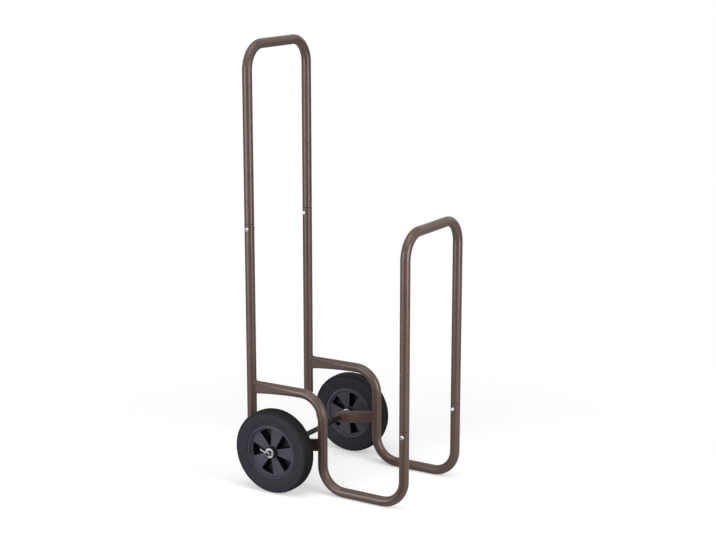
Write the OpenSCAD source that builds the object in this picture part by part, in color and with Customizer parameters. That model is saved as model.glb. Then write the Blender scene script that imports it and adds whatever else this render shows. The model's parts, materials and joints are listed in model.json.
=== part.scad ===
// Fireside log cart: two bent side frames, tied by a tall handle hoop at the back,
// a lower hoop at the front and an axle with two wheels.
// +X points to the front hoop, +Y to the cart's left, +Z up. The floor is z = 0.

/* [Overall] */
// Height of the handle hoop's top above the floor
total_h = 1000; // [900:5:1100]
// Distance from the rear legs' centre line to the front posts'
post_spacing = 398; // [380:1:460]
// Distance between the side frames' centre planes
frame_w = 236; // [200:1:320]

/* [Tube] */
// Outer diameter of the frame tube
tube_d = 22; // [20:0.5:25]
// Wall of the frame tube
tube_wall = 1.5; // [1.2:0.1:2]
// Centre line radius of every bend
bend_r = 55; // [48:1:62]
// Chamfer round the open tube ends
tube_chamfer = 0.6; // [0.3:0.1:0.9]

/* [Side frame] */
// Height of the joint between the rear legs and the handle hoop
rear_joint_h = 595; // [560:5:640]
// Height of the lower end of the rear legs' tube
leg_end_h = 146; // [136:1:152]
// Height of the rail's upper run, at its centre line
rail_h = 224; // [214:1:250]
// Distance from the rear leg's centre line to the rail's drop
drop_x = 190; // [182:1:200]

/* [Front hoop] */
// Height of the front hoop's top above the floor
front_h = 621; // [560:1:700]
// Height of the joint between the front posts and the front hoop
front_joint_h = 181; // [150:1:220]

/* [Plug joints] */
// Length of the reduced end that slides into the lower tube
spigot_len = 45; // [35:1:60]
// Wall of the reduced end
spigot_wall = 1.4; // [1:0.1:1.6]
// Height of the cone between the tube and its reduced end
swage_h = 4; // [2:0.5:6]
// Distance from the joint down to its bolt
bolt_drop = 12; // [10:0.5:18]

/* [Bolts] */
// Diameter of the joint bolts
bolt_d = 5; // [4:0.5:6]
// Diameter of the bolt's domed head
bolt_head_d = 9.5; // [8:0.5:12]
// Height of the bolt's domed head
bolt_head_h = 3; // [2:0.1:4]
// Width across the flats of the bolt's hexagon socket
bolt_socket_af = 3; // [2:0.5:4]
// Width across the flats of the cap nut
nut_af = 8; // [7.5:0.5:10]
// Height of the cap nut's hexagon
nut_hex_h = 4; // [3:0.5:5]
// Height of the cap nut's dome
nut_dome_h = 3.5; // [2.5:0.5:4.5]
// How far the cap nut's thread reaches into its dome
nut_thread_past = 0.5; // [0.2:0.1:1]

/* [Leg plug] */
// Height of the plug's head below the leg
plug_head_h = 4; // [3:0.5:5]
// Radius round the plug's lower edge
plug_round = 3; // [1:0.5:3]
// Length of the plug inside the leg
plug_shank = 16; // [10:1:24]
// Length of the taper at the plug's inner end
plug_lead = 2; // [1:0.5:4]

/* [Axle] */
// Diameter of the axle
axle_d = 12; // [10:0.5:14]
// Distance from the rear leg's centre line to the axle
axle_x = 92.5; // [88:0.5:98]
// Chamfer of the axle's ends
axle_chamfer = 1.2; // [0.5:0.1:2]
// Length of axle beyond the split pin's centre
axle_tail = 5; // [4:0.5:8]

/* [Axle bracket] */
// Thickness of the bracket plate
bracket_t = 5; // [4:0.5:8]
// Width of plate left round the boss
bracket_rim = 5; // [4:0.5:8]
// Height of the bracket's welded edge on the drop
bracket_edge_h = 28; // [20:1:34]
// Height of that edge's lower end above the axle
bracket_rise = 1; // [-5:1:8]
// How far the plate's outline runs in past the drop's edge, where it is coped
bracket_into = 1; // [0.5:0.1:2]
// Outer diameter of the boss that holds the axle
boss_d = 20; // [18:0.5:24]
// Length of the boss on the inner side of the plate
boss_in = 12; // [8:1:20]

/* [Wheel] */
// Diameter of the wheel over its tyre
wheel_d = 192; // [186:1:198]
// Width of the tyre
tyre_w = 36; // [33:1:42]
// Width of the flat part of the tread
tread_w = 25; // [21:1:28]
// Gap between the frame tube and the tyre
tyre_gap = 18; // [14:0.5:22]
// Height of the tread's crown above its shoulders
crown_h = 1; // [0.6:0.1:1.6]
// Height of the chamfer between tread and sidewall
shoulder_h = 5; // [3:0.5:8]
// How far the sidewall bulges beyond its inner edge
sidewall_bulge = 2.5; // [1.5:0.5:3.5]

/* [Rim] */
// Diameter of the rim's lips
rim_d = 124; // [116:1:130]
// Height of the lips above the tyre's seat
lip_h = 5; // [3:0.5:7]
// Thickness of each lip
lip_t = 4; // [3:0.5:5]
// Distance that the lips sit inside the tyre's width, each side
lip_inset = 2.5; // [1.5:0.5:4]
// Radial width of the lip's flat face
lip_face = 3.5; // [2.5:0.5:5]
// Thickness of the rim under the tyre
rim_wall = 4; // [3:0.5:5]
// Distance from the lip's face down to the step beside it
step_depth = 3.5; // [2:0.5:5]
// Radial width of that step
step_w = 3; // [2:0.5:4]
// Distance from the lip's face to the spokes' outer ends
spoke_depth = 6; // [4.5:0.5:9]
// How much deeper the spokes lie at the hub
spoke_dish = 2.5; // [0:0.5:4]
// Number of spokes
spokes = 5; // [4:1:6]
// Half the angle between the two sides of a pocket, in degrees
pocket_half_angle = 19.5; // [14:0.5:20]
// Distance from the wheel's centre to where a pocket's sides would meet
pocket_apex = 9.4; // [6:0.1:11]
// Angle that turns the pockets round the hub, in degrees
pocket_phase = -38; // [-72:1:72]
// Width of the spokes' face left at a pocket's inner and outer end
pocket_land = 0.6; // [0.4:0.1:2]
// Wall of the moulded spokes, faces and floors
mould_wall = 2.5; // [2:0.5:3.5]
// Distance from the inner lip's face to the wheel's back face
back_depth = 4; // [2:0.5:6]
// How much the rim widens inside from the back face to the inner lip
back_flare = 2; // [0:0.5:3]

/* [Hub] */
// Diameter of the hub
hub_d = 29; // [26:0.5:32]
// Length of the hub
hub_len = 40; // [37:1:46]
// Outer diameter of the hub's bushes
bush_d = 18; // [16.5:0.5:20]
// Length of each bush
bush_len = 13; // [10:1:16]

/* [Washers and split pins] */
// Diameter of the outer washers
outer_washer_d = 22; // [18:0.5:24]
// Diameter of the inner washers
inner_washer_d = 24; // [20:0.5:26]
// Thickness of the washers
washer_t = 2; // [1.5:0.1:3]
// Diameter of the split pin's shank
pin_d = 3; // [2:0.2:3.4]
// Thickness of the split pin's legs and eye
pin_leg_d = 1.5; // [1:0.1:1.8]
// Length of the split pin's longer leg beyond the axle
pin_long_leg = 16; // [8:1:18]
// Length of the split pin's shorter leg beyond the axle
pin_short_leg = 10; // [6:1:14]
// How far each leg is bent away, in degrees
pin_splay = 25; // [10:1:40]
// Gap between the outer washer and the split pin
pin_gap = 1.5; // [0.5:0.1:3]

/* [Clearances] */
// Radial clearance between the axle and what turns on it or holds it
axle_fit = 0.05; // [0.02:0.01:0.1]
// Radial clearance of pieces pushed or plugged into each other
plug_fit = 0.05; // [0.02:0.01:0.1]
// Radial clearance of the bolt and split pin holes
hole_fit = 0.2; // [0.1:0.05:0.4]
// Gap left where one welded piece meets another's curved face
weld_fit = 0.02; // [0.01:0.01:0.05]
// Play between the hub and the washer at each end
hub_play = 0.3; // [0.2:0.1:0.5]

/* [Hidden] */
$fn = 96;

// Colours
bronze = [0.36, 0.30, 0.27];
dark_bronze = [0.24, 0.20, 0.18];
tyre_black = [0.20, 0.20, 0.22];
rim_grey = [0.27, 0.27, 0.30];
zinc = [0.82, 0.82, 0.84];
nylon = [0.10, 0.10, 0.11];

// Tube
tube_r = tube_d / 2;
tube_bore_r = tube_r - tube_wall;
cut_len = 4 * tube_d; // longer than anything a bolt or a cope cuts through
cut_past = tube_wall; // how far a bore's cutter reaches past each face

// Places along the cart. A bending machine is set in steps of an eighth of a
// millimetre, so the tubes' centre lines lie on such steps
bender_step = 1 / 8;
function on_step(place) = round(place / bender_step) * bender_step;
post_x = on_step(post_spacing / 2);
leg_x = -post_x;
drop_at = on_step(leg_x + drop_x);
axle_at = leg_x + axle_x;

// Plug joints
spigot_r = tube_bore_r - plug_fit;
spigot_bore_r = spigot_r - spigot_wall;
shoulder_r = tube_r - 1.2 * tube_chamfer;
swage_lip = tube_r - shoulder_r;

// Wheels and axle
wheel_r = wheel_d / 2;
axle_r = axle_d / 2;
bush_r = bush_d / 2;
hub_r = hub_d / 2;
rim_r = rim_d / 2;
seat_r = rim_r - lip_h;
lip_out = tyre_w / 2 - lip_inset;
lip_in = lip_out - lip_t;
frame_y = frame_w / 2;
wheel_at = frame_y + tube_r + tyre_gap + tyre_w / 2;
hub_half = hub_len / 2;
outer_washer_at = wheel_at + hub_half + hub_play;
inner_washer_at = wheel_at - hub_half - hub_play - washer_t;
pin_at = outer_washer_at + washer_t + pin_d / 2 + pin_gap;
axle_half = pin_at + axle_tail;

// ---- Placing ----

// Stands its children in the plane of the left side frame
module in_left_frame() {
    translate([0, frame_y, 0]) children();
}

// Copies what is on the left to the right as well
module both_sides() {
    children();
    mirror([0, 1, 0]) children();
}

// Turns what is built along +Z to point outwards at the left end of the axle line
module on_axle(y) {
    translate([axle_at, y, wheel_r]) rotate([-90, 0, 0]) children();
}

// ---- Tube pieces ----

// A straight tube round the Z axis, with a chamfer at its top where it ends open.
// Its ends are places along that axis, so that they lie exactly where a bend's do
module tube_run(from, to, chamfer = 0) {
    rotate_extrude()
        polygon([[tube_bore_r, from], [tube_r, from], [tube_r, to - chamfer],
            [tube_r - chamfer, to], [tube_bore_r, to]]);
}

// A bend about the origin, from angle 0 round to turn
module tube_bend(turn) {
    rotate_extrude(angle = turn) translate([bend_r, 0]) difference() {
        circle(tube_r);
        circle(tube_bore_r);
    }
}

// A quarter bend in a side frame's plane, from the angle start upwards
module bend_at(centre, start) {
    translate([centre[0], 0, centre[1]]) rotate([90, 0, 0]) rotate([0, 0, start])
        tube_bend(90);
}

// A hoop's straight leg round the Z axis: its shoulder rests on the lower tube at
// joint_h, and its reduced end reaches down into that tube
module hoop_leg(joint_h, to) {
    end_h = joint_h - spigot_len;
    rotate_extrude()
        polygon([[spigot_bore_r, end_h], [spigot_r - tube_chamfer, end_h],
            [spigot_r, end_h + tube_chamfer], [spigot_r, joint_h], [shoulder_r, joint_h],
            [tube_r, joint_h + swage_lip], [tube_r, to], [tube_bore_r, to],
            [tube_bore_r, joint_h + swage_h], [spigot_bore_r, joint_h]]);
}

// The hole for a joint's bolt, across a side frame
module bolt_hole(joint_h, x) {
    in_left_frame() translate([x, 0, joint_h - bolt_drop]) rotate([90, 0, 0])
        cylinder(r = bolt_d / 2 + hole_fit, h = cut_len, center = true);
}

// A hoop across the cart: two plugged legs, two bends and a straight top bar
module hoop(x, top_h, joint_h) {
    bend_z = top_h - tube_r - bend_r;
    bar_half = frame_y - bend_r;
    difference() {
        union() {
            both_sides() {
                translate([x, bar_half + bend_r, 0]) hoop_leg(joint_h, bend_z);
                translate([x, bar_half, bend_z]) rotate([90, 0, 90]) tube_bend(90);
            }
            translate([x, 0, bend_z + bend_r]) rotate([-90, 0, 0])
                tube_run(-bar_half, bar_half);
        }
        both_sides() bolt_hole(joint_h, x);
    }
}

// ---- Frame ----

module handle_hoop() {
    color(bronze) hoop(leg_x, total_h, rear_joint_h);
}

module front_hoop() {
    color(bronze) hoop(post_x, front_h, front_joint_h);
}

module rear_leg() {
    color(bronze) difference() {
        in_left_frame() translate([leg_x, 0, 0])
            tube_run(leg_end_h, rear_joint_h, tube_chamfer);
        bolt_hole(rear_joint_h, leg_x);
    }
}

// One tube, bent three times: upper run, drop, bottom run and front post
module side_rail() {
    rail_bend = [drop_at - bend_r, rail_h - bend_r]; // the bends' centres, as x and z
    rear_bend = [drop_at + bend_r, tube_r + bend_r];
    front_bend = [post_x - bend_r, tube_r + bend_r];
    color(bronze) difference() {
        in_left_frame() {
            translate([0, 0, rail_bend[1] + bend_r]) rotate([0, 90, 0])
                tube_run(leg_x, rail_bend[0]);
            bend_at(rail_bend, 0);
            translate([rail_bend[0] + bend_r, 0, 0]) tube_run(rear_bend[1], rail_bend[1]);
            bend_at(rear_bend, 180);
            translate([0, 0, rear_bend[1] - bend_r]) rotate([0, 90, 0])
                tube_run(rear_bend[0], front_bend[0]);
            bend_at(front_bend, 270);
            translate([front_bend[0] + bend_r, 0, 0])
                tube_run(front_bend[1], front_joint_h, tube_chamfer);
        }
        // the end is coped to the rear leg
        in_left_frame() translate([leg_x, 0, rail_h])
            cylinder(r = tube_r + weld_fit, h = cut_len, center = true);
        bolt_hole(front_joint_h, post_x);
    }
}

// The moulded plug that closes the lower end of a rear leg
module leg_plug() {
    shank_r = tube_bore_r - plug_fit;
    color(dark_bronze) in_left_frame() translate([leg_x, 0, leg_end_h]) rotate_extrude() {
        translate([0, -plug_head_h]) square([tube_r - plug_round, plug_head_h]);
        translate([0, plug_round - plug_head_h]) square([tube_r, plug_head_h - plug_round]);
        intersection() {
            translate([tube_r - plug_round, plug_round - plug_head_h]) circle(plug_round);
            translate([0, -plug_head_h]) square([tube_r, plug_head_h]);
        }
        polygon([[0, 0], [shank_r, 0], [shank_r, plug_shank - plug_lead],
            [shank_r - plug_lead / 2, plug_shank], [0, plug_shank]]);
    }
}

// ---- Axle and its brackets ----

// Where a line from the point p touches the circle of radius r round c,
// on its upper side for turn = 1 and on its lower side for turn = -1
function touch(p, c, r, turn) =
    let (d = p - c, to_p = atan2(d[1], d[0]), open = acos(r / norm(d)))
    c + r * [cos(to_p + turn * open), sin(to_p + turn * open)];

// A plate from the drop back to the axle, rounded about the boss
module axle_bracket() {
    eye_r = boss_d / 2 + bracket_rim;
    centre = [axle_at, wheel_r];
    edge_x = drop_at - tube_r + bracket_into;
    edge_low = [edge_x, wheel_r + bracket_rise];
    edge_high = [edge_x, wheel_r + bracket_rise + bracket_edge_h];
    color(bronze) difference() {
        in_left_frame() rotate([90, 0, 0]) translate([0, 0, -bracket_t / 2])
            linear_extrude(bracket_t) {
                translate(centre) circle(eye_r);
                polygon([centre, touch(edge_low, centre, eye_r, -1), edge_low, edge_high,
                    touch(edge_high, centre, eye_r, 1)]);
            }
        on_axle(frame_y)
            cylinder(r = boss_d / 2 + weld_fit, h = cut_len, center = true);
        in_left_frame() translate([drop_at, 0, wheel_r])
            cylinder(r = tube_r + weld_fit, h = cut_len, center = true);
    }
}

// The turned sleeve that is welded through the bracket and holds the axle
module axle_boss() {
    start = frame_y - boss_in;
    color(bronze) on_axle(start) difference() {
        cylinder(d = boss_d, h = inner_washer_at - start);
        translate([0, 0, -cut_past])
            cylinder(r = axle_r + axle_fit, h = inner_washer_at - start + 2 * cut_past);
    }
}

module axle() {
    color(dark_bronze) difference() {
        on_axle(-axle_half) rotate_extrude()
            polygon([[0, 0], [axle_r - axle_chamfer, 0], [axle_r, axle_chamfer],
                [axle_r, 2 * axle_half - axle_chamfer],
                [axle_r - axle_chamfer, 2 * axle_half], [0, 2 * axle_half]]);
        both_sides() on_axle(pin_at) rotate([0, 90, 0])
            cylinder(r = pin_d / 2 + hole_fit, h = cut_len, center = true);
    }
}

// ---- Wheels, built about z with +z outwards ----

module tyre_profile() {
    crown_r = (pow(tread_w / 2, 2) + pow(crown_h, 2)) / (2 * crown_h);
    side_mid = (rim_r + wheel_r) / 2;
    side_reach = (wheel_r - rim_r) / 2;
    side_r = (pow(side_reach, 2) + pow(sidewall_bulge, 2)) / (2 * sidewall_bulge);
    bead_r = seat_r + plug_fit;
    difference() {
        intersection() {
            translate([wheel_r - crown_r, 0]) circle(crown_r, $fn = 720);
            translate([side_mid, tyre_w / 2 - side_r]) circle(side_r, $fn = 360);
            translate([side_mid, side_r - tyre_w / 2]) circle(side_r, $fn = 360);
            polygon([[bead_r, -tyre_w / 2], [wheel_r - shoulder_h, -tyre_w / 2],
                [wheel_r, -tread_w / 2], [wheel_r, tread_w / 2],
                [wheel_r - shoulder_h, tyre_w / 2], [bead_r, tyre_w / 2]]);
        }
        // room for the rim's lips
        for (side = [-1, 1]) translate([0, side * (tyre_w / 2 + lip_in - plug_fit)])
            square([2 * (rim_r + plug_fit), tyre_w], center = true);
    }
}

module tyre() {
    color(tyre_black) on_axle(wheel_at) rotate_extrude() tyre_profile();
}

// A wedge-shaped pocket with round ends, cut along +z from its floor up
module pocket(apex, half_angle, r_in, r_out, floor_z, depth) {
    reach = 2 * r_out;
    translate([0, 0, floor_z]) linear_extrude(depth) intersection() {
        difference() {
            circle(r_out);
            circle(r_in);
        }
        polygon([[apex, 0], [apex + reach, -reach * tan(half_angle)],
            [apex + reach, reach * tan(half_angle)]]);
    }
}

module wheel_rim() {
    web_r = seat_r - rim_wall;
    step_r = rim_r - lip_face - 1;
    spoke_end_z = lip_out - spoke_depth;
    spoke_hub_z = spoke_end_z - spoke_dish;
    back_z = back_depth - lip_out;
    pitch = 360 / spokes;
    spoke_half_angle = pitch / 2 - pocket_half_angle;
    // the spokes' sides run on to meet here, and their cores lie one wall inside them
    spoke_apex = pocket_apex * (cos(pitch / 2) - sin(pitch / 2) / tan(spoke_half_angle));
    core_apex = spoke_apex + mould_wall / sin(spoke_half_angle);
    color(rim_grey) on_axle(wheel_at) difference() {
        rotate_extrude()
            polygon([[bush_r + plug_fit, -hub_half], [hub_r, -hub_half], [hub_r, back_z],
                [web_r, back_z], [web_r + back_flare, -lip_out], [rim_r, -lip_out],
                [rim_r, -lip_in], [seat_r, -lip_in], [seat_r, lip_in], [rim_r, lip_in],
                [rim_r, lip_out], [rim_r - lip_face, lip_out],
                [step_r, lip_out - step_depth], [step_r - step_w, lip_out - step_depth],
                [web_r, spoke_end_z], [hub_r, spoke_hub_z], [hub_r, hub_half],
                [bush_r + plug_fit, hub_half]]);
        for (i = [0 : spokes - 1]) {
            // pockets between the spokes, open at the front
            rotate([0, 0, pocket_phase + i * pitch])
                pocket(pocket_apex, pocket_half_angle, hub_r + pocket_land,
                    web_r - pocket_land, back_z + mould_wall, tyre_w);
            // cores under the spokes, open at the back
            rotate([0, 0, pocket_phase + (i + 0.5) * pitch])
                pocket(core_apex, spoke_half_angle, hub_r + mould_wall,
                    web_r - mould_wall, back_z - tyre_w,
                    tyre_w + spoke_hub_z - mould_wall - back_z);
        }
    }
}

// Two plain bushes, one pushed into each end of the hub
module hub_bushes() {
    color(nylon) on_axle(wheel_at) for (start = [-hub_half, hub_half - bush_len])
        translate([0, 0, start]) difference() {
            cylinder(r = bush_r, h = bush_len);
            translate([0, 0, -cut_past])
                cylinder(r = axle_r + axle_fit, h = bush_len + 2 * cut_past);
        }
}

// ---- Fasteners ----

module washer(outer_d) {
    difference() {
        cylinder(d = outer_d, h = washer_t);
        translate([0, 0, -cut_past])
            cylinder(r = axle_r + hole_fit, h = washer_t + 2 * cut_past);
    }
}

module inner_washers() {
    color(zinc) both_sides() on_axle(inner_washer_at) washer(inner_washer_d);
}

module outer_washers() {
    color(zinc) both_sides() on_axle(outer_washer_at) washer(outer_washer_d);
}

// The pin lies along x, with its eye to the front and its legs bent up and down
module split_pin() {
    eye_r = pin_d / 2 + pin_leg_d / 2;
    shank_start = -axle_r - 1;
    shank_end = axle_r + 0.5;
    translate([shank_start, 0, 0]) rotate([0, 90, 0])
        cylinder(d = pin_d, h = shank_end - shank_start);
    translate([shank_end + eye_r, 0, 0]) rotate_extrude()
        translate([eye_r, 0]) circle(d = pin_leg_d, $fn = 32);
    for (leg = [[-1, pin_long_leg], [1, pin_short_leg]])
        translate([shank_start + 0.5, leg[0] * (pin_d - pin_leg_d) / 2, 0])
            rotate([0, 0, -leg[0] * pin_splay]) rotate([0, -90, 0])
                cylinder(d = pin_leg_d, h = leg[1]);
}

module split_pins() {
    color(zinc) both_sides() on_axle(pin_at) split_pin();
}

// A dome on z = 0, with a flat base of radius r
module dome(r, h) {
    ball_r = (r * r + h * h) / (2 * h);
    rotate_extrude() intersection() {
        translate([0, h - ball_r]) circle(ball_r);
        square([r, h]);
    }
}

// The bolt's head points to +z, and its shank runs down through the tube
module bolt() {
    shank = 2 * tube_r + 2 * weld_fit + nut_hex_h;
    difference() {
        union() {
            dome(bolt_head_d / 2, bolt_head_h);
            translate([0, 0, -shank]) cylinder(d = bolt_d, h = shank);
        }
        translate([0, 0, bolt_head_h / 2])
            cylinder(d = bolt_socket_af / cos(30), h = bolt_head_h, $fn = 6);
    }
}

module cap_nut() {
    difference() {
        union() {
            cylinder(d = nut_af / cos(30), h = nut_hex_h, $fn = 6);
            translate([0, 0, nut_hex_h]) dome(nut_af / 2 - 0.3, nut_dome_h);
        }
        translate([0, 0, -cut_past])
            cylinder(r = bolt_d / 2 + plug_fit, h = nut_hex_h + nut_thread_past + cut_past);
    }
}

// Stands its children on the outer face of a joint's tube, or on its inner face
module at_joint(x, joint_h, outside) {
    both_sides() in_left_frame()
        translate([x, outside * (tube_r + weld_fit), joint_h - bolt_drop])
            rotate([-outside * 90, 0, 0]) children();
}

module handle_bolts() {
    color(zinc) at_joint(leg_x, rear_joint_h, 1) bolt();
}

module handle_nuts() {
    color(zinc) at_joint(leg_x, rear_joint_h, -1) cap_nut();
}

module front_hoop_bolts() {
    color(zinc) at_joint(post_x, front_joint_h, 1) bolt();
}

module front_hoop_nuts() {
    color(zinc) at_joint(post_x, front_joint_h, -1) cap_nut();
}

// ---- The cart ----

handle_hoop();
front_hoop();
rear_leg();  // rear_leg_left
mirror([0, 1, 0]) rear_leg();  // rear_leg_right
side_rail();  // side_rail_left
mirror([0, 1, 0]) side_rail();  // side_rail_right
leg_plug();  // leg_plug_left
mirror([0, 1, 0]) leg_plug();  // leg_plug_right
axle();
axle_bracket();  // axle_bracket_left
mirror([0, 1, 0]) axle_bracket();  // axle_bracket_right
axle_boss();  // axle_boss_left
mirror([0, 1, 0]) axle_boss();  // axle_boss_right
tyre();  // tyre_left
mirror([0, 1, 0]) tyre();  // tyre_right
wheel_rim();  // wheel_rim_left
mirror([0, 1, 0]) wheel_rim();  // wheel_rim_right
hub_bushes();  // hub_bushes_left
mirror([0, 1, 0]) hub_bushes();  // hub_bushes_right
inner_washers();
outer_washers();
split_pins();
handle_bolts();
handle_nuts();
front_hoop_bolts();
front_hoop_nuts();
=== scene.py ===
# %% [markdown]
# # A fireside log cart, dressed for its portrait
# The cart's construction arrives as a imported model: tubes, axle, wheels, bolts and washers, each
# at its real size. This lesson leaves most of the frame where it is and gives it a powder coat. It
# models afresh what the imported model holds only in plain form: the treaded tyres, the moulded rims,
# the squeezed rail ends, the weld beads and the small plated hardware. Everything is in metres.

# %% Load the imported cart
import json
from math import asin, atan2, copysign, cos, hypot, pi, radians, sin, sqrt, tan, tau

import bmesh
import bpy
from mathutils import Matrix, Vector


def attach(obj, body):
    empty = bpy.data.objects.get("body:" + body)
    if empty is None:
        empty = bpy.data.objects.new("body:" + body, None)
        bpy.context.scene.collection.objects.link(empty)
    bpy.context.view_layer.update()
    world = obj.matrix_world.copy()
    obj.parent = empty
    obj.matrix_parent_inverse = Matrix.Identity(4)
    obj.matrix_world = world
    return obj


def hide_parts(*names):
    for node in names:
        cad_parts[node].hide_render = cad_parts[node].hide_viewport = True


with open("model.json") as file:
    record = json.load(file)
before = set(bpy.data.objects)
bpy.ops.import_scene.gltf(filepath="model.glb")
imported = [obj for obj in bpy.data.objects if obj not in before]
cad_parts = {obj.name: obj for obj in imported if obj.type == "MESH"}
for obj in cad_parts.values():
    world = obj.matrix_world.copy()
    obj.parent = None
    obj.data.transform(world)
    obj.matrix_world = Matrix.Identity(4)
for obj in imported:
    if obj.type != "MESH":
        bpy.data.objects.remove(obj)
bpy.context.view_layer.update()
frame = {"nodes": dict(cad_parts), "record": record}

MM = 0.001
scene = bpy.context.scene

# %% [markdown]
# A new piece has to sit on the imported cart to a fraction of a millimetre. So its place is read from
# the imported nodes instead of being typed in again, and it follows if the cart is packed with other
# sizes. The box round a node is enough: its middle gives the axle, and its ends give the joints.

# %% Places on the cart
def box_of(name):
    """The lowest corner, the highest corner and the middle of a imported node."""
    places = [v.co for v in frame["nodes"][name].data.vertices]
    low, high = (Vector([end(p[i] for p in places) for i in range(3)]) for end in (min, max))
    return low, high, (low + high) / 2


AXLE = box_of("axle")[2]
WHEEL = Vector((AXLE.x, box_of("tyre_left")[2].y, AXLE.z))  # the middle of the left wheel
SIDE = box_of("rear_leg_left")[2].y  # from the cart's middle to the tubes of a side frame
print("left wheel at", [round(c, 4) for c in WHEEL], "side frames at", round(SIDE, 4))

# %% [markdown]
# The camera stands where the photographer stood: in front of the cart's right side, a little above
# it, looking slightly down. A long lens keeps the upright tubes nearly parallel. Its place was found
# by matching tube edges, joints and the wheel, so no picture needs to be loaded here.

# %% Camera
CAMERA_PLACE = (1.809, -2.970, 1.2874)
CAMERA_TURN = 31.185  # degrees to the left of +Y
CAMERA_DOWN = 12.911  # degrees below the horizon
LENS = 80.37  # mm, on a sensor 36 mm wide

camera_data = bpy.data.cameras.new("camera")
camera_data.lens = LENS
camera_data.sensor_width = 36
camera = bpy.data.objects.new("camera", camera_data)
camera.location = CAMERA_PLACE
camera.rotation_euler = (radians(90 - CAMERA_DOWN), 0, radians(CAMERA_TURN))
scene.collection.objects.link(camera)
scene.camera = camera
scene.view_settings.view_transform = "Standard"
print("camera at", CAMERA_PLACE)

# %% [markdown]
# Colours are written as the sRGB hex codes a designer would note down, and one function turns them
# into the linear values that shaders expect. Another adds one shader node, sets its values and
# links its inputs, so that a material reads as a list. The last one opens a new material.

# %% Colour and node helpers
def linear(hex_code):
    """The linear colour, with alpha 1, of an sRGB hex code such as 4a3f39."""
    parts = [int(hex_code[i:i + 2], 16) / 255 for i in (0, 2, 4)]
    return [p / 12.92 if p <= 0.04045 else ((p + 0.055) / 1.055) ** 2.4 for p in parts] + [1]


def output_of(source):
    """A node's first open output. Anything else is returned as it is."""
    if isinstance(source, bpy.types.Node):
        return next(socket for socket in source.outputs if socket.enabled)
    return source


def node(tree, kind, inputs=(), **options):
    """One shader node. Inputs are values, sockets or nodes, listed in order or named in a dict."""
    new = tree.nodes.new("ShaderNode" + kind)
    for name, value in options.items():
        setattr(new, name, value)
    for name, value in inputs.items() if isinstance(inputs, dict) else enumerate(inputs):
        value = output_of(value)
        if isinstance(value, bpy.types.NodeSocket):
            tree.links.new(value, new.inputs[name])
        else:
            new.inputs[name].default_value = value
    return new


def finish(name, **sockets):
    """A new material and its node tree, with the shader's values that hold all over."""
    material = bpy.data.materials.new(name)
    material.use_nodes = True
    shader = material.node_tree.nodes["Principled BSDF"]
    for socket, value in sockets.items():
        shader.inputs[socket.replace("_", " ")].default_value = value
    return material, material.node_tree


print("brown as linear:", [round(c, 3) for c in linear("4a3f39")])

# %% [markdown]
# The floor is a large pale sheet. The camera should see it white, yet it must still take the cart's
# soft shadow. So its matt paint is lit like everything else, and a faint glow that only camera rays
# see lifts it the last bit. Further out, where the softboxes no longer reach and no shadow falls,
# it fades to a plain white glow. The world does the same: white where the camera or a reflection
# looks at it, and much dimmer as a source of light.

# %% Floor and world
FLOOR_SIZE = 40.0
FLOOR_LIFT = 0.38  # the glow added for the camera alone
FADE_FROM, FADE_TO = 0.42, 0.95  # m from the cart's middle
SKY_FOR_LIGHT = 0.36  # the world's strength as a light


def studio_floor():
    bpy.ops.mesh.primitive_plane_add(size=FLOOR_SIZE, location=(0, 0, 0))
    sheet = bpy.context.object
    sheet.name = "floor"
    paint, tree = finish("matt_white_floor")
    tree.nodes.clear()
    camera_ray = node(tree, "LightPath").outputs["Is Camera Ray"]
    matt = node(tree, "BsdfDiffuse", {"Color": linear("e2e2e2")})
    lift = node(tree, "Math", [camera_ray, FLOOR_LIFT], operation="MULTIPLY")
    near = node(tree, "AddShader", [matt, node(tree, "Emission", {"Strength": lift})])
    place = node(tree, "TexCoord").outputs["Object"]
    away = node(tree, "VectorMath", [place], operation="LENGTH")
    fade = node(tree, "MapRange", [away, FADE_FROM, FADE_TO], interpolation_type="SMOOTHSTEP")
    white = node(tree, "Math", [camera_ray, fade], operation="MULTIPLY")
    both = node(tree, "MixShader", [white, near, node(tree, "Emission")])
    node(tree, "OutputMaterial", {"Surface": both})
    sheet.data.materials.append(paint)


def studio_world():
    world = bpy.data.worlds.new("studio")
    world.use_nodes = True
    tree = world.node_tree
    tree.nodes.clear()
    path = node(tree, "LightPath")
    seen = path.outputs["Is Camera Ray"]
    for ray in ("Is Glossy Ray", "Is Transmission Ray"):
        seen = node(tree, "Math", [seen, path.outputs[ray]], operation="MAXIMUM")
    strength = node(tree, "MapRange", [seen, 0, 1, SKY_FOR_LIGHT, 1])
    sky = node(tree, "Background", {"Color": (1, 1, 1, 1), "Strength": strength})
    node(tree, "OutputWorld", {"Surface": sky})
    scene.world = world


studio_floor()
studio_world()
print("floor is", FLOOR_SIZE, "m wide")

# %% [markdown]
# Round tubes are drawn by what they reflect. Two tall softboxes, low and near on the left and the
# right of the camera, put a long highlight on each flank of a tube and leave a darker stripe between
# them, which is how the coated tubes look in a catalogue picture. A large box overhead fills in
# and gives the floor its soft shadow.

# %% Softboxes
AIM = Vector((0, 0, 0.45))  # every lamp faces the middle of the cart


def softbox(name, azimuth, elevation, distance, size, power):
    """A rectangular lamp that faces the cart. Azimuth 0 is seen along +Y, 90 along -X."""
    a, e = radians(azimuth), radians(elevation)
    lamp_data = bpy.data.lights.new(name, "AREA")
    lamp_data.shape = "RECTANGLE"
    lamp_data.size, lamp_data.size_y = size
    lamp_data.energy = power
    lamp = bpy.data.objects.new(name, lamp_data)
    back = Vector((sin(a) * cos(e), -cos(a) * cos(e), sin(e)))
    lamp.location = AIM + distance * back
    lamp.rotation_euler = back.to_track_quat("Z", "Y").to_euler()
    lamp.visible_camera = False
    scene.collection.objects.link(lamp)


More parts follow.
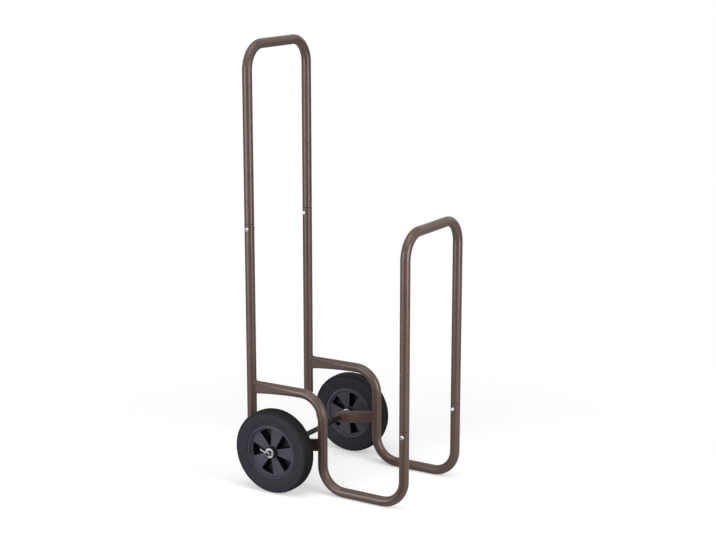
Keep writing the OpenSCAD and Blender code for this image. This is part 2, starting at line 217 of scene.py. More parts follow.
softbox("softbox_left", -24, 5, 1.9, (1.2, 1.15), 20)
softbox("softbox_right", 80, 7, 1.45, (0.6, 1.0), 15)
softbox("softbox_above", 10, 74, 2.8, (2.2, 2.2), 34)
print("three softboxes placed")

# %% [markdown]
# A vertical tube seen from above mirrors the floor, and a white floor would wash out the dark stripe
# down its middle. Photographers lay a black card on the floor in front of such an object. This one
# is a wedge that only reflections can see: it throws no shadow and is out of sight from every side.

# %% Black card
CARD_TURN = radians(30)  # towards the camera
CARD_HALF = radians(17)
CARD_NEAR, CARD_FAR = 0.2, 5.5  # m from the cart's middle
CARD_UP = 1 * MM  # above the floor


def black_card():
    corners = [(r * sin(a), -r * cos(a), CARD_UP) for r, a in (
        (CARD_NEAR, CARD_TURN - CARD_HALF), (CARD_FAR, CARD_TURN - CARD_HALF),
        (CARD_FAR, CARD_TURN + CARD_HALF), (CARD_NEAR, CARD_TURN + CARD_HALF))]
    mesh = bpy.data.meshes.new("black_card")
    mesh.from_pydata(corners, [], [(0, 1, 2, 3)])
    card = bpy.data.objects.new("black_card", mesh)
    scene.collection.objects.link(card)
    card.visible_camera = card.visible_shadow = card.visible_diffuse = False
    mesh.materials.append(finish("black_velvet", Base_Color=linear("101010"), Roughness=1.0)[0])


black_card()
print("card from", CARD_NEAR, "to", CARD_FAR, "m")

# %% [markdown]
# ## Finishes
# Every finish starts from what the real one is. Two helpers give what most finishes share: a noise
# whose grain is stated as a real size in millimetres, and a colour that drifts between two shades
# with it. A third joins colour, roughness and relief to the shader. The relief's depth is a real
# size too.

# %% Material helpers
NOISE = (0.3, 0.7)  # nearly all of a noise's values lie between these


def grain(tree, size_mm, detail=2.0, roughness=0.5):
    """Noise on the piece's own coordinates, whose grains are about size_mm across."""
    place = node(tree, "TexCoord").outputs["Object"]
    return node(tree, "TexNoise", {
        "Vector": place, "Scale": 1 / (size_mm * MM), "Detail": detail, "Roughness": roughness})


def mottled(tree, dark, light, noise, low=NOISE[0], high=NOISE[1]):
    """A colour that drifts from one hex code to another as the noise goes from low to high."""
    amount = node(tree, "MapRange", [noise, low, high])
    # a Mix node has an A and a B for each kind of data; those for colours are its inputs 6 and 7
    return node(tree, "Mix", {0: amount, 6: linear(dark), 7: linear(light)}, data_type="RGBA")


def cover(tree, colour, patches, roughness, relief, depth_mm):
    """Joins a finish to its shader. The roughness goes from one value to another with the patches."""
    rough = node(tree, "MapRange", [patches, *NOISE, *roughness])
    bump = node(tree, "Bump", {"Height": relief, "Distance": depth_mm * MM})
    for socket, source in (("Base Color", colour), ("Roughness", rough), ("Normal", bump)):
        tree.links.new(output_of(source), tree.nodes["Principled BSDF"].inputs[socket])


print("material helpers ready")

# %% [markdown]
# The tubes wear a bronze-brown powder coat: ground resin with a little aluminium flake, baked on.
# It is satin, not glossy, and powder never levels quite flat, so there is a faint orange peel. Real
# flakes are under 0.1 mm and would vanish at this distance, so they are drawn half a millimetre
# across. Where a hoop stands on the tube below it, a thin dark line is painted all round as painted
# shade for the narrow gap between them.

# %% Powder coat
FLAKE_MM, PEEL_MM, CLOUD_MM = 0.45, 1.6, 60
BODY, FLECK = ("49342d", "4f3a31"), ("534038", "5a473d")
TO_GROOVE = 45.3 * MM  # from the lowest end of a hoop's spigot up to the groove above it
GROOVES = [(box_of(hoop)[0].z + TO_GROOVE, end)  # height, and rear or front
           for hoop, end in (("handle_hoop", -1), ("front_hoop", 1))]


def place_on_cart(tree):
    """X, Y and Z of a point in metres. A piece's own coordinates are the cart's."""
    return node(tree, "SeparateXYZ", [node(tree, "TexCoord").outputs["Object"]]).outputs


def groove_shade(tree, height, end):
    """Painted shade: 1 within a hair of this height, at the cart's rear (-1) or front (1), else 0."""
    place = place_on_cart(tree)
    away = node(tree, "Math", [place["Z"], height], operation="SUBTRACT")
    away = node(tree, "Math", [away], operation="ABSOLUTE")
    inside = node(tree, "MapRange", [away, 0.5 * MM, 0.75 * MM, 1, 0])
    along = node(tree, "Math", [place["X"], end], operation="MULTIPLY")
    at_end = node(tree, "MapRange", [along, 0.09, 0.11])
    return node(tree, "Math", [inside, at_end], operation="MULTIPLY")


def powder_coat():
    material, tree = finish("bronze_powder_coat", Metallic=0.15, IOR=1.55)
    clouds = grain(tree, CLOUD_MM, 3.0)
    flakes = node(tree, "MapRange", [grain(tree, FLAKE_MM, 1.0), 0.45, 0.75])
    body, fleck = mottled(tree, *BODY, clouds), mottled(tree, *FLECK, clouds)
    coated = node(tree, "Mix", {0: flakes, 6: body, 7: fleck}, data_type="RGBA")
    # painted shade: a thin dark line where a hoop stands on the tube below, for the narrow gap
    bare = node(tree, "Math", [groove_shade(tree, *where) for where in GROOVES], operation="MAXIMUM")
    colour = node(tree, "Mix", {0: bare, 6: coated, 7: linear("140e0c")}, data_type="RGBA")
    cover(tree, colour, grain(tree, FLAKE_MM, 1.0), (0.38, 0.32), grain(tree, PEEL_MM, 1.0), 0.006)
    return material


coat = powder_coat()
print(coat.name, "has", len(coat.node_tree.nodes), "nodes")

# %% [markdown]
# Solid rubber tyres are compression moulded from a charcoal compound. The sidewall shows the fine
# turned rings of the mould and has a slightly bluish tone. The tread is painted darker: painted shade
# for a face turned away from the lamps. The rings and the change of colour are both drawn from the
# distance to the axle, so the texture is first moved to the axle with a Mapping node.

# %% Tyre rubber
TREAD_FROM = 90.5 * MM  # from the axle, where sidewall ends and tread begins


def from_axle(tree):
    """The distance of a point from the line of the axle, in metres."""
    place = node(tree, "TexCoord").outputs["Object"]
    moved = node(tree, "Mapping", {"Vector": place, "Location": -AXLE})
    flat = node(tree, "VectorMath", [moved, (1, 0, 1)], operation="MULTIPLY")
    return node(tree, "VectorMath", [flat], operation="LENGTH")


def rings(tree, radius, pitch_mm):
    """Fine turned rings round the axle, from 0 to 1 and back, one every pitch_mm."""
    phase = node(tree, "Math", [radius, tau / (pitch_mm * MM)], operation="MULTIPLY")
    return node(tree, "MapRange", [node(tree, "Math", [phase], operation="SINE"), -1, 1])


def rubber():
    material, tree = finish("charcoal_rubber", IOR=1.5, Specular_IOR_Level=0.2)
    radius = from_axle(tree)
    wall = mottled(tree, "24222a", "2a2731", grain(tree, 14, 4.0), 0.35, 0.68)
    # painted shade: the tread is darker than the sidewall all round the tyre
    tread = node(tree, "MapRange", [radius, TREAD_FROM, TREAD_FROM + 1.5 * MM])
    colour = node(tree, "Mix", {0: tread, 6: wall, 7: linear("100e0f")}, data_type="RGBA")
    marks = [rings(tree, radius, 1.1), 0.5, grain(tree, 0.5)]
    relief = node(tree, "Math", marks, operation="MULTIPLY_ADD")
    cover(tree, colour, grain(tree, 5, 3.0), (0.6, 0.75), relief, 0.03)
    return material


tyre_rubber = rubber()
print(tyre_rubber.name, "has", len(tyre_rubber.node_tree.nodes), "nodes")

# %% [markdown]
# Plugs and bushes are small mouldings in plain plastic, one brown to go with the coat and one in
# black nylon. Melt that flows into a mould leaves faint, broad differences in shade and sheen, and
# the mould's own surface leaves a fine texture.

# %% Plain mouldings
def moulding(name, dark, light, sheen=(0.42, 0.52), depth_mm=0.02, gloss=0.5):
    """A plastic with its flow marks. Returns its colour too, so that more can be mixed in."""
    material, tree = finish(name, IOR=1.49, Specular_IOR_Level=gloss)
    colour = mottled(tree, dark, light, grain(tree, 22, 3.0))
    cover(tree, colour, grain(tree, 9, 3.0), sheen, grain(tree, 0.35, 1.5), depth_mm)
    return material, colour


bush_nylon, _ = moulding("black_nylon", "141415", "1b1b1c", sheen=(0.3, 0.4), depth_mm=0.01)
plug_plastic, _ = moulding("brown_plug_moulding", "3f2f29", "4a3831", sheen=(0.45, 0.6))
print("plastics:", bush_nylon.name, plug_plastic.name)

# %% [markdown]
# The rims are injection moulded in a blue-black polypropylene. The mould's faces were eroded, which
# leaves an even texture that scatters light, so the spokes look a shade lighter than the rubber.
# The pockets' walls and the hub's barrel, with a thin ring round it, are painted nearly black as
# painted shade. Which parts these are is worked out from two lengths: the distance to the axle, and
# the depth below the spokes.

# %% Rim moulding
HUB_R = 13.5
FACE_AT, FACE_OUT = 53, 9.5  # mm: a radius, and how far out the spokes' face is there
FACE_SLOPE = -1.5 / 38.5  # and it drops by this for every mm further from the axle


def face_out(radius):
    """How far the spokes' face stands from the wheel's middle at a radius, in mm."""
    return FACE_OUT + (radius - FACE_AT) * FACE_SLOPE


def rim_moulding():
    material, colour = moulding("blue_black_polypropylene", "32313d", "3c3b48", gloss=0.35)
    tree = material.node_tree
    radius = from_axle(tree)
    across = node(tree, "Math", [place_on_cart(tree)["Y"]], operation="ABSOLUTE")
    out = node(tree, "Math", [across, WHEEL.y], operation="SUBTRACT")
    face = node(tree, "Math", [radius, FACE_SLOPE, face_out(0) * MM], operation="MULTIPLY_ADD")
    depth = node(tree, "Math", [face, out], operation="SUBTRACT")
    deep = node(tree, "MapRange", [depth, 0.8 * MM, 2.5 * MM])
    not_back = node(tree, "MapRange", [out, -11.2 * MM, -10 * MM])
    pocket = node(tree, "Math", [deep, not_back], operation="MULTIPLY")
    hub = node(tree, "MapRange", [radius, (HUB_R + 0.7) * MM, (HUB_R + 1.1) * MM, 1, 0])
    recess_shade = node(tree, "Math", [pocket, hub], operation="MAXIMUM")
    # painted shade: nearly black on the pockets' walls, the hub's barrel and a thin ring round it
    colour = node(tree, "Mix", {0: recess_shade, 6: colour, 7: linear("0d0c12")}, data_type="RGBA")
    tree.links.new(output_of(colour), tree.nodes["Principled BSDF"].inputs["Base Color"])
    return material


rim_plastic = rim_moulding()
print(rim_plastic.name, "has", len(rim_plastic.node_tree.nodes), "nodes")

# %% [markdown]
# Washers, pins, bolts and nuts are zinc plated: a thin bright layer over punched or cold-headed
# steel. The layer is mirror-like in small patches and cloudy in others, and the blue passivation
# bath leaves it slightly cool. Fine scratches from being tumbled together dull it a little. Inside
# a bolt's socket the zinc is painted dark, as painted shade for the recess.

# %% Zinc plating
def zinc(name, low, high, roughness):
    material, tree = finish(name, Metallic=1.0)
    colour = mottled(tree, low, high, grain(tree, 3.5, 4.0), 0.32, 0.7)
    cover(tree, colour, grain(tree, 1.2, 5.0, 0.7), roughness, grain(tree, 0.6, 3.0), 0.012)
    return material


plated = zinc("bright_zinc_plating", "b9bcc2", "d6d7d8", (0.22, 0.42))
pin_plated = zinc("bright_zinc_wire", "8f9298", "adafb3", (0.25, 0.4))
# painted shade: a darker zinc for the faces inside the bolts' sockets
socket_shade_zinc = zinc("zinc_with_painted_socket_shade", "2e2f31", "46474a", (0.5, 0.65))
print("zinc:", plated.name, pin_plated.name, socket_shade_zinc.name)

# %% [markdown]
# The axle is a plain drawn bar. Its skin is the dark oxide it was blackened in, and only its two
# ends are bare steel with the rings of the lathe tool, bright on the freshly turned chamfer and dark
# on the sawn face. The change from skin to bare comes with the distance from the cart's middle.

# %% Blackened bar
BARE_FROM = box_of("axle")[1].y - 1.1 * MM  # from the cart's middle, where the chamfer starts
CHAMFER_FROM = 4.5 * MM  # from the axle's own line


def blackened_bar():
    material, tree = finish("blackened_steel_bar", Metallic=0.75)
    radius = from_axle(tree)
    across = node(tree, "Math", [place_on_cart(tree)["Y"]], operation="ABSOLUTE")
    bare = node(tree, "MapRange", [across, BARE_FROM, BARE_FROM + 0.4 * MM])
    face = node(tree, "MapRange", [radius, CHAMFER_FROM, CHAMFER_FROM + 0.3 * MM, 1, 0])
    skin = mottled(tree, "2c2421", "3f3530", grain(tree, 6, 4.0))
    turned_steel = mottled(tree, "9a9a9e", "bcbcc0", grain(tree, 2, 3.0))
    end = node(tree, "Mix", {0: face, 6: turned_steel, 7: linear("39383b")}, data_type="RGBA")
    colour = node(tree, "Mix", {0: bare, 6: skin, 7: end}, data_type="RGBA")
    cover(tree, colour, grain(tree, 1.5, 3.0), (0.35, 0.5), rings(tree, radius, 0.5), 0.01)
    return material


axle_bar = blackened_bar()
print(axle_bar.name, "has", len(axle_bar.node_tree.nodes), "nodes")

# %% [markdown]
# ## Modelling helpers
# New pieces are made the way a hand would make them in Blender: add a primitive, go into edit mode,
# select something, and apply a tool. These helpers do the selecting, which in a script goes by
# place instead of by mouse. A piece is worked on where it belongs, so its object stays at the
# origin with its place in its mesh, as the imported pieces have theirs.

# %% Start, pick and close
def mode(name):
    """Opens the active piece with EDIT, and leaves it with OBJECT."""
    bpy.ops.object.mode_set(mode=name)


def shade(degrees):
    """Smooths the shading over every edge that bends by less."""
    bpy.ops.object.shade_smooth_by_angle(angle=radians(degrees))


def start_piece(name, kind, **settings):
    """Adds a primitive with nothing else selected, and opens it for editing."""
    bpy.ops.object.select_all(action="DESELECT")
    getattr(bpy.ops.mesh, f"primitive_{kind}_add")(**settings)
    piece = bpy.context.object
    piece.name = piece.data.name = name
    bpy.ops.object.transform_apply(location=True, rotation=True, scale=True)
    mode("EDIT")
    return piece


def pick(kind, test):
    """Selects the vertices, edges or faces that pass the test, and returns how many do."""
    bpy.ops.mesh.select_mode(type=kind)
    bpy.ops.mesh.select_all(action="DESELECT")
    data = bpy.context.object.data
    mesh = bmesh.from_edit_mesh(data)
    elements = {"VERT": mesh.verts, "EDGE": mesh.edges, "FACE": mesh.faces}[kind]
    chosen = [element for element in elements if test(element)]
    for element in chosen:
        element.select_set(True)
    mesh.select_flush_mode()
    bmesh.update_edit_mesh(data)
    return len(chosen)


def pick_all():
    bpy.ops.mesh.select_all(action="SELECT")


def merge_doubles():
    """Merges corners that lie on one another, and leaves all selected."""
    pick_all()
    bpy.ops.mesh.remove_doubles(threshold=0.002 * MM)


def close_piece(piece, smooth=30):
    """Merges doubles, turns the faces outwards, leaves edit mode and smooths the shading."""
    merge_doubles()
    bpy.ops.mesh.normals_make_consistent(inside=False)
    mode("OBJECT")
    shade(smooth)
    return piece


def faces_of(piece):
    return len(piece.data.polygons)


print("pieces can be started and closed")

# %% [markdown]
# Finished pieces are joined, mirrored and cut in object mode. The cart is its own mirror image, so
# only its left side is modelled. A mirrored mesh is inside out until its normals are recalculated.

# %% Select, mirror and carve
def only(*pieces):
    """Selects just these objects, the first of them active."""
    bpy.ops.object.select_all(action="DESELECT")
    for piece in pieces:
        piece.select_set(True)
    bpy.context.view_layer.objects.active = pieces[0]


def on_the_right(piece, name):
    """A copy with a mesh of its own, mirrored from the cart's left side to its right."""
    only(piece)
    bpy.ops.object.duplicate(linked=False)
    twin = bpy.context.object
    twin.name = twin.data.name = name
    bpy.ops.transform.resize(value=(1, -1, 1), center_override=(0, 0, 0))
    bpy.ops.object.transform_apply(location=True, rotation=True, scale=True)
    mode("EDIT")
    pick_all()
    bpy.ops.mesh.normals_make_consistent(inside=False)
    mode("OBJECT")
    return twin


def join(*pieces):
    """Makes one mesh of several pieces. The first one keeps its name."""
    only(*pieces)
    bpy.ops.object.join()
    return pieces[0]


def on_both_sides(piece):
    """Adds the piece's mirror image to its own mesh."""
    return join(piece, on_the_right(piece, "twin"))


def carve(piece, tool, operation="DIFFERENCE"):
    """Cuts a piece with another one, which is used up."""
    only(piece)
    modifier = piece.modifiers.new("carve", "BOOLEAN")
    modifier.operation, modifier.object, modifier.solver = operation, tool, "EXACT"
    bpy.ops.object.modifier_apply(modifier=modifier.name)
    bpy.data.objects.remove(tool)


print("pieces can be mirrored and carved")

# %% [markdown]
# Most small parts of the cart are turned shapes: tyre, rim, washers, bolt heads. Each starts as one
# vertex, which is extruded along the outline of a cross-section. Corners that need rounding are
# bevelled while the outline is still a bare wire, and the wire is then spun round the axis. Here
# every such axis runs across the cart, so an outline is a list of (radius, distance outwards), and
# a corner may carry a third number, its rounding. All are in millimetres.

# %% Turned shapes
def wire(name, places, closed=True):
    """A bare wire through these places, as a new piece in edit mode."""
    piece = start_piece(name, "plane", size=MM)
    bpy.ops.mesh.select_mode(type="VERT")
    bpy.ops.mesh.merge(type="CENTER")
    bpy.ops.transform.translate(value=places[0])
    if closed:
        places = places + places[:1]
    for before, after in zip(places, places[1:]):
        bpy.ops.mesh.extrude_region_move(TRANSFORM_OT_translate={"value": after - before})
    merge_doubles()
    return piece


def turned(name, centre, outline, steps=96, closed=True, smooth=30):
    """Spins an outline about the line across the cart through centre."""
    places = [centre + MM * Vector((0, corner[1], corner[0])) for corner in outline]
    piece = wire(name, places, closed)
    for corner, place in zip(outline, places):
        if len(corner) > 2:
            pick("VERT", lambda v: (v.co - place).length < 0.001 * MM)
            bpy.ops.mesh.bevel(affect="VERTICES", offset=corner[2] * MM, segments=4)
    pick_all()
    bpy.ops.mesh.spin(steps=steps, angle=tau, center=centre, axis=(0, 1, 0))
    return close_piece(piece, smooth)


print("outlines can be turned")

# %% [markdown]
# ## Tyres
# The tyres are solid moulded rubber, 192 mm across and 36 mm wide. The tread has a plain rib round
# the middle, a row of blocks on each side of it and a plain rib on each shoulder, with narrow
# grooves between. The bare tyre is spun with the tread at the depth of its grooves, in steps fine
# enough to divide each of the 60 blocks in four. The outline is written for the outer half only,
# and then mirrored.

# %% The bare tyre
TYRE_R = 95.95
CROWN_R = 78.6
TREAD_DEPTH = 1.8
BLOCKS = 60
TYRE_STEPS = 4 * BLOCKS
RIB, BLOCK_IN, BLOCK_OUT, SIDE_IN, SIDE_OUT = 3.0, 4.4, 8.8, 10.2, 15.8  # mm from the tread's middle


def crown(across):
    """The tread's radius at a distance from the tyre's middle."""
    return TYRE_R - CROWN_R + sqrt(CROWN_R ** 2 - across ** 2)


def wall(radius, rib=0.0):
    """A place on the bulging sidewall, which may stand out as a rib."""
    return radius, 17.95 - 2.5 * ((radius - 79) / 17) ** 2 + rib


half = [(57.1, 11.4), (62.15, 11.4)]  # the bead, behind the rim's lip
half += [(*wall(62.15, -0.4), 0.3), (*wall(63.6, 0.25), 0.5), (*wall(65.4, 0.25), 0.5)]
half += [wall(66.6, -0.1)]
half += [wall(radius) for radius in (69, 72, 75, 78, 81, 84, 86, 87.4)]
half += [(*wall(88.1, 0.3), 0.3), (*wall(89, 0.3), 0.3), (89.7, 16.6)]
half += [(90.3, 15.9), (92.4, 13.4)]  # the shoulder
half += [(crown(across) - TREAD_DEPTH, across) for across in (SIDE_IN, BLOCK_OUT, BLOCK_IN, RIB)]
mirrored = [(corner[0], -corner[1], *corner[2:]) for corner in reversed(half)]
tyre_left = turned("tyre_left_looks", WHEEL, half + mirrored, TYRE_STEPS, smooth=40)
print(tyre_left.name, "has", faces_of(tyre_left), "faces before the tread")

# %% [markdown]
# The ribs are picked by their place across the tread, and the blocks also by their place round it:
# that is a face's angle, counted in spin steps, and a block takes three steps of each four and
# leaves the fourth as the slot. Shrink/fatten pushes the picked faces along their normals, so the
# blocks and ribs lean with the crown of the tread, and a bevel takes off their sharp edges.

# %% The tread
LOW_R = 90.4  # every face of the tread has its middle outside this radius
RAISED = (  # from and to across the tread, in blocks or whole, height in mm
    (0, RIB, False, TREAD_DEPTH - 0.05),
    (BLOCK_IN, BLOCK_OUT, True, TREAD_DEPTH - 0.05),
    (SIDE_IN, SIDE_OUT, False, TREAD_DEPTH - 0.1))


def tread_face(face, low, high, slotted):
    """True for the faces to raise between two places across the tread."""
    arm = face.calc_center_median() - WHEEL
    across, radius = abs(arm.y) / MM, hypot(arm.x, arm.z) / MM
    on_tread = radius > LOW_R and face.normal.dot(arm.normalized()) > 0.3
    step = int(atan2(arm.x, arm.z) / tau * TYRE_STEPS % TYRE_STEPS)
    return low < across < high and on_tread and not (slotted and step % 4 == 0)


only(tyre_left)
mode("EDIT")
raised = 0
for low, high, slotted, height in RAISED:
    raised += pick("FACE", lambda f: tread_face(f, low, high, slotted))
    bpy.ops.mesh.extrude_region_shrink_fatten(
        TRANSFORM_OT_shrink_fatten={"value": height * MM, "use_even_offset": True})
    bpy.ops.mesh.region_to_loop()
    bpy.ops.mesh.bevel(offset=0.25 * MM, segments=1, affect="EDGES")
close_piece(tyre_left)
tyre_right = on_the_right(tyre_left, "tyre_right_looks")
print(raised, "faces raised;", tyre_left.name, "now has", faces_of(tyre_left))

# %% [markdown]
# ## Rims
# Each rim is one moulding in dark plastic: lips that hold the tyre, a recessed ring, five broad
# spokes that rise a little to the hub, and deep pockets between them. The disc and the hub's barrel
# are turned first, each from its own outline.

# %% The rim's disc and hub
SPOKES = 5

rim_left = turned("rim_left_looks", WHEEL, [
    (13, -11.5), (52.6, -11.5, 0.5), (54.6, -15.5, 0.8), (62, -15.5, 1.2), (62, -11.5),  # the back
    (57, -11.5), (57, 11.5),  # under the tyre
    (62, 11.5), (62, 15.4, 0.5), (60.3, 15.5, 0.4), (59.8, 16.3, 0.5), (58.2, 16.3, 0.6),  # the lip
    (57.6, 12.1, 0.3), (56.9, 11.5, 0.3), (56.3, 12.4, 0.3), (54.7, 12.4, 0.6),  # the recessed ring
    (53.4, FACE_OUT + 0.1, 0.4), (13, face_out(13))], steps=180)
hub = turned("hub", WHEEL, [(9.1, -20), (HUB_R, -20, 0.8), (HUB_R, 20, 0.9), (9.1, 20, 0.4)], steps=72)
print(rim_left.name, "has", faces_of(rim_left), "faces before its pockets are cut")

# %% [markdown]
# A cutter for one pocket is drawn as a stack of wedge outlines, bridged to a solid: wide at the
# mouth, so the cut leaves a soft edge, and tapered to the floor, as the core of a mould is. A
# wedge's two sides would meet at a point near the axle, and its ends are arcs round it. Grown by a
# little, every side moves out by that much, which is how the outlines in a stack differ.

# %% The cutter for a pocket
def wedge(apex, half_angle, near, far, grow=0.0):
    """The outline (along, across) of a wedge between two radii, in mm."""
    slope = tan(half_angle)
    rise = grow / cos(half_angle) - apex * slope

    def side_angle(radius):
        # where the side, across = along * slope + rise, meets the circle
        root = sqrt(radius ** 2 * (1 + slope ** 2) - rise ** 2)
        along = (root - slope * rise) / (1 + slope ** 2)
        return atan2(along * slope + rise, along)

    points = []
    for radius, steps, way in ((near - grow, 6, 1), (far + grow, 14, -1)):
        edge = side_angle(radius)
        points += [(radius * cos(a), radius * sin(a))
                   for a in (way * edge * (1 - 2 * i / steps) for i in range(steps + 1))]
    return points


def cutter(name, angle, stack):
    """Bridges a stack of (outline, distance outwards at FACE_AT, slope) to a closed solid."""
    lengthwise = Vector((cos(angle), 0, sin(angle)))
    crosswise = Vector((-sin(angle), 0, cos(angle)))
    corners = len(stack[0][0])
    layers = []
    for outline, out, slope in stack:
        layers.append(wire(name, [WHEEL + MM * (u * lengthwise + v * crosswise + Vector((
            0, out + (u - FACE_AT) * slope, 0))) for u, v in outline]))
        mode("OBJECT")
    for below, layer in enumerate(layers[1:]):
        join(layers[0], layer)
        mode("EDIT")
        # the two newest outlines are the last that were added
        pick("VERT", lambda v: v.index >= below * corners)
        bpy.ops.mesh.bridge_edge_loops()
        mode("OBJECT")
    mode("EDIT")
    for start in (0, len(stack) * corners - corners):
        pick("VERT", lambda v: start <= v.index < start + corners)
        bpy.ops.mesh.edge_face_add()
    return close_piece(layers[0])


print("a wedge has", len(wedge(0, 0.3, 20, 50)), "corners")

# %% [markdown]
# The pockets' angles are counted from the front of the cart upwards, the same on both wheels. The
# spokes between them are hollow behind, as thick plastic would shrink and sink in, and that takes a
# second kind of cutter. One Boolean takes all ten out together.

# %% Cut the pockets and finish the rims
POCKET = (9.4, radians(21.9), 15.1, 52.4)  # apex, half angle, inner and outer radius
POCKET_EDGE = ((0.9, 4), (0.9, 0.1), (0.45, -0.15), (0.15, -0.5), (0, -1.1))  # growth, height
POCKET_FLOOR = -9
CORE = (-2.25, radians(14), 17, 50.5)
CORE_FROM, CORE_TO = -14, 4.5
FIRST_POCKET = radians(38)

cutters = []
for i in range(SPOKES):
    pocket_at = FIRST_POCKET + i * tau / SPOKES
    edge = [(wedge(*POCKET, grow), FACE_OUT + height, FACE_SLOPE) for grow, height in POCKET_EDGE]
    cutters.append(cutter("pocket", pocket_at, edge + [(wedge(*POCKET, -0.7), POCKET_FLOOR, 0)]))
    cutters.append(cutter("core", pocket_at + pi / SPOKES, [
        (wedge(*CORE, 0.3), CORE_FROM, 0), (wedge(*CORE, -0.5), CORE_TO, 0)]))
carve(rim_left, join(*cutters))
join(rim_left, hub)
shade(35)
rim_right = on_the_right(rim_left, "rim_right_looks")
print(rim_left.name, "has", faces_of(rim_left), "faces with its pockets and hub")

# %% [markdown]
# ## Washers
# The hub turns between two plain washers on each side. A washer is punched from sheet, so the edge
# the punch enters is rolled over and the other one stays sharp. Both edges here get a rounding, a
# soft one outside and a crisp one inside, because a bright rim is what gives a washer away in a
# picture. Left and right washers are one mesh, since both pairs sit still on the axle.

# %% Washers
def washer(name, outer, inwards, outwards):
    """A pair of washers between two distances from the wheel's middle plane, in mm."""
    return on_both_sides(turned(name, WHEEL, [
        (6.3, inwards, 0.2), (outer, inwards, 0.25),
        (outer, outwards, 0.6), (6.3, outwards, 0.4)], steps=72))


inner_washers = washer("inner_washers_looks", 12, -22.25, -20.35)
outer_washers = washer("outer_washers_looks", 11, 20.35, 22.25)
print("washers:", faces_of(inner_washers), "and", faces_of(outer_washers), "faces")

# %% [markdown]
# ## Split pins
# A split pin is half-round wire bent back on itself: an eye at one end, two legs with their flats
# together, spread behind the hole so that it can't slip out. Here the wire is bent the same way,
# by extruding a half-round outline along each straight run and spinning it round each bend. The
# helper keeps the wire's place and heading, as a wire bender does.

# %% Wire bending
WIRE_R = 1.1


def bent_wire(name, start, heading, moves):
    """A half-round wire in the plane y = start.y, its flat on the right. Moves are in mm, degrees."""
    place, turn = Vector(start), radians(heading)
    left = Vector((-sin(turn), 0, cos(turn)))
    piece = wire(name, [place + WIRE_R * MM * (cos(a) * Vector((0, 1, 0)) + sin(a) * left)
                        for a in (pi * i / 10 for i in range(11))])
    for kind, *values in moves:
        ahead = Vector((cos(turn), 0, sin(turn)))
        left = Vector((-sin(turn), 0, cos(turn)))
        if kind == "run":
            bpy.ops.mesh.extrude_region_move(TRANSFORM_OT_translate={"value": values[0] * MM * ahead})
            place = place + values[0] * MM * ahead
        else:
            angle, bend = radians(values[0]), values[1] * MM
            pivot = place + copysign(bend, angle) * left
            steps = max(3, round(abs(values[0]) / 10))
            bpy.ops.mesh.spin(steps=steps, angle=angle, center=pivot, axis=(0, 1, 0))
            turn += angle
            place = pivot - copysign(bend, angle) * Vector((-sin(turn), 0, cos(turn)))
    bpy.ops.mesh.select_mode(type="EDGE")
    bpy.ops.mesh.select_all(action="DESELECT")
    bpy.ops.mesh.select_non_manifold()
    bpy.ops.mesh.edge_face_add()
    return close_piece(piece)


print("wire can be bent")

# %% [markdown]
# The pin is bent from the tip of its long leg: along the leg, through the axle's hole, round the eye
# and back. The eye's radius follows from its flat side, which has to close on itself.

# %% Split pins
PIN = WHEEL + MM * Vector((0, 25.3, 0))
SPREAD = 25  # degrees that each leg is bent away
SLIT = 0.03  # half the gap between the legs
LONG_LEG, SHORT_LEG = 16, 10
THROUGH = 11.5  # the straight run through the axle
BEND_AT = -7  # where the legs part, along the cart
LEG_BEND, NECK_BEND, NECK = 2.2, 2.5, 52  # radii of the bends in mm, and the neck's turn in degrees
CREST = radians(NECK)
EYE_R = (NECK_BEND * (1 - cos(CREST)) + SLIT) / cos(CREST)

tip = PIN + MM * Vector((BEND_AT - LONG_LEG * cos(radians(SPREAD)), 0,
                         SLIT + LONG_LEG * sin(radians(SPREAD))))
split_pins = on_both_sides(bent_wire("split_pins_looks", tip, -SPREAD, [
    ("run", LONG_LEG), ("turn", SPREAD, LEG_BEND), ("run", THROUGH), ("turn", NECK, NECK_BEND),
    ("turn", -180 - 2 * NECK, EYE_R), ("turn", NECK, NECK_BEND), ("run", THROUGH),
    ("turn", SPREAD, LEG_BEND), ("run", SHORT_LEG)]))
print("split pins:", faces_of(split_pins), "faces; eye radius", round(EYE_R, 2), "mm")

# %% [markdown]
# ## Bolts and cap nuts
# The hoops are held by one cross bolt at each foot: a button head with a hexagon socket on the
# outside, a domed cap nut inside, where clothes could catch on a bare thread. Both stand on the
# tube's skin and touch it only along one line. A button head is a low dome with a small flat crown,
# so it is turned. Its socket is the mark of a six-sided punch, cut by a Boolean.

# %% Bolt heads
JOINTS = {}
for hoop in ("handle", "front_hoop"):
    bolt_at = box_of(f"{hoop}_bolts")[2]
    JOINTS[hoop] = Vector((bolt_at.x, SIDE, bolt_at.z))
SEAT = MM * Vector((0, 11.02, 0))  # from the tube's middle to its skin


def dome(ball, top, rim, steps):
    """Points (radius, height) over a dome, from its rim in to its crown."""
    end = asin(rim / ball)
    return [(ball * sin(a), top - ball * (1 - cos(a))) for a in
            (end * (1 - i / steps) for i in range(steps))]


def six_sided(name, centre, flats, low, high):
    """A hexagonal prism across the cart; its flats face up and down."""
    prism = start_piece(name, "cylinder", vertices=6, radius=flats / 2 / cos(pi / 6) * MM,
                        depth=(high - low) * MM, rotation=(pi / 2, pi / 6, 0),
                        location=centre + MM * Vector((0, (low + high) / 2, 0)))
    mode("OBJECT")
    return prism


def bolt_head(name, seat):
    """A button head: dome, crown, countersunk hexagon socket."""
    arc = [(r, h) for r, h in dome(5.26, 3, 4.62, 8) if r > 2.3]
    head = turned(name, seat, [(0, 0), (4.35, 0), (4.7, 0.3)] + arc + [
        (2.15, 2.56, 0.1), (1.75, 2.3), (0, 2.3)], steps=48, closed=False)
    carve(head, six_sided("punch", seat, 3, 1.2, 4))
    shade(30)
    return head


print("bolted joints:", list(JOINTS))

# %% [markdown]
# A cap nut is a hexagon whose corners are turned off on a lathe, under a domed cap. So a turned body
# and a six-sided bar are kept where both have material, which is the Boolean called intersect, and
# the cap is joined on. It points inwards, so its heights are negative.

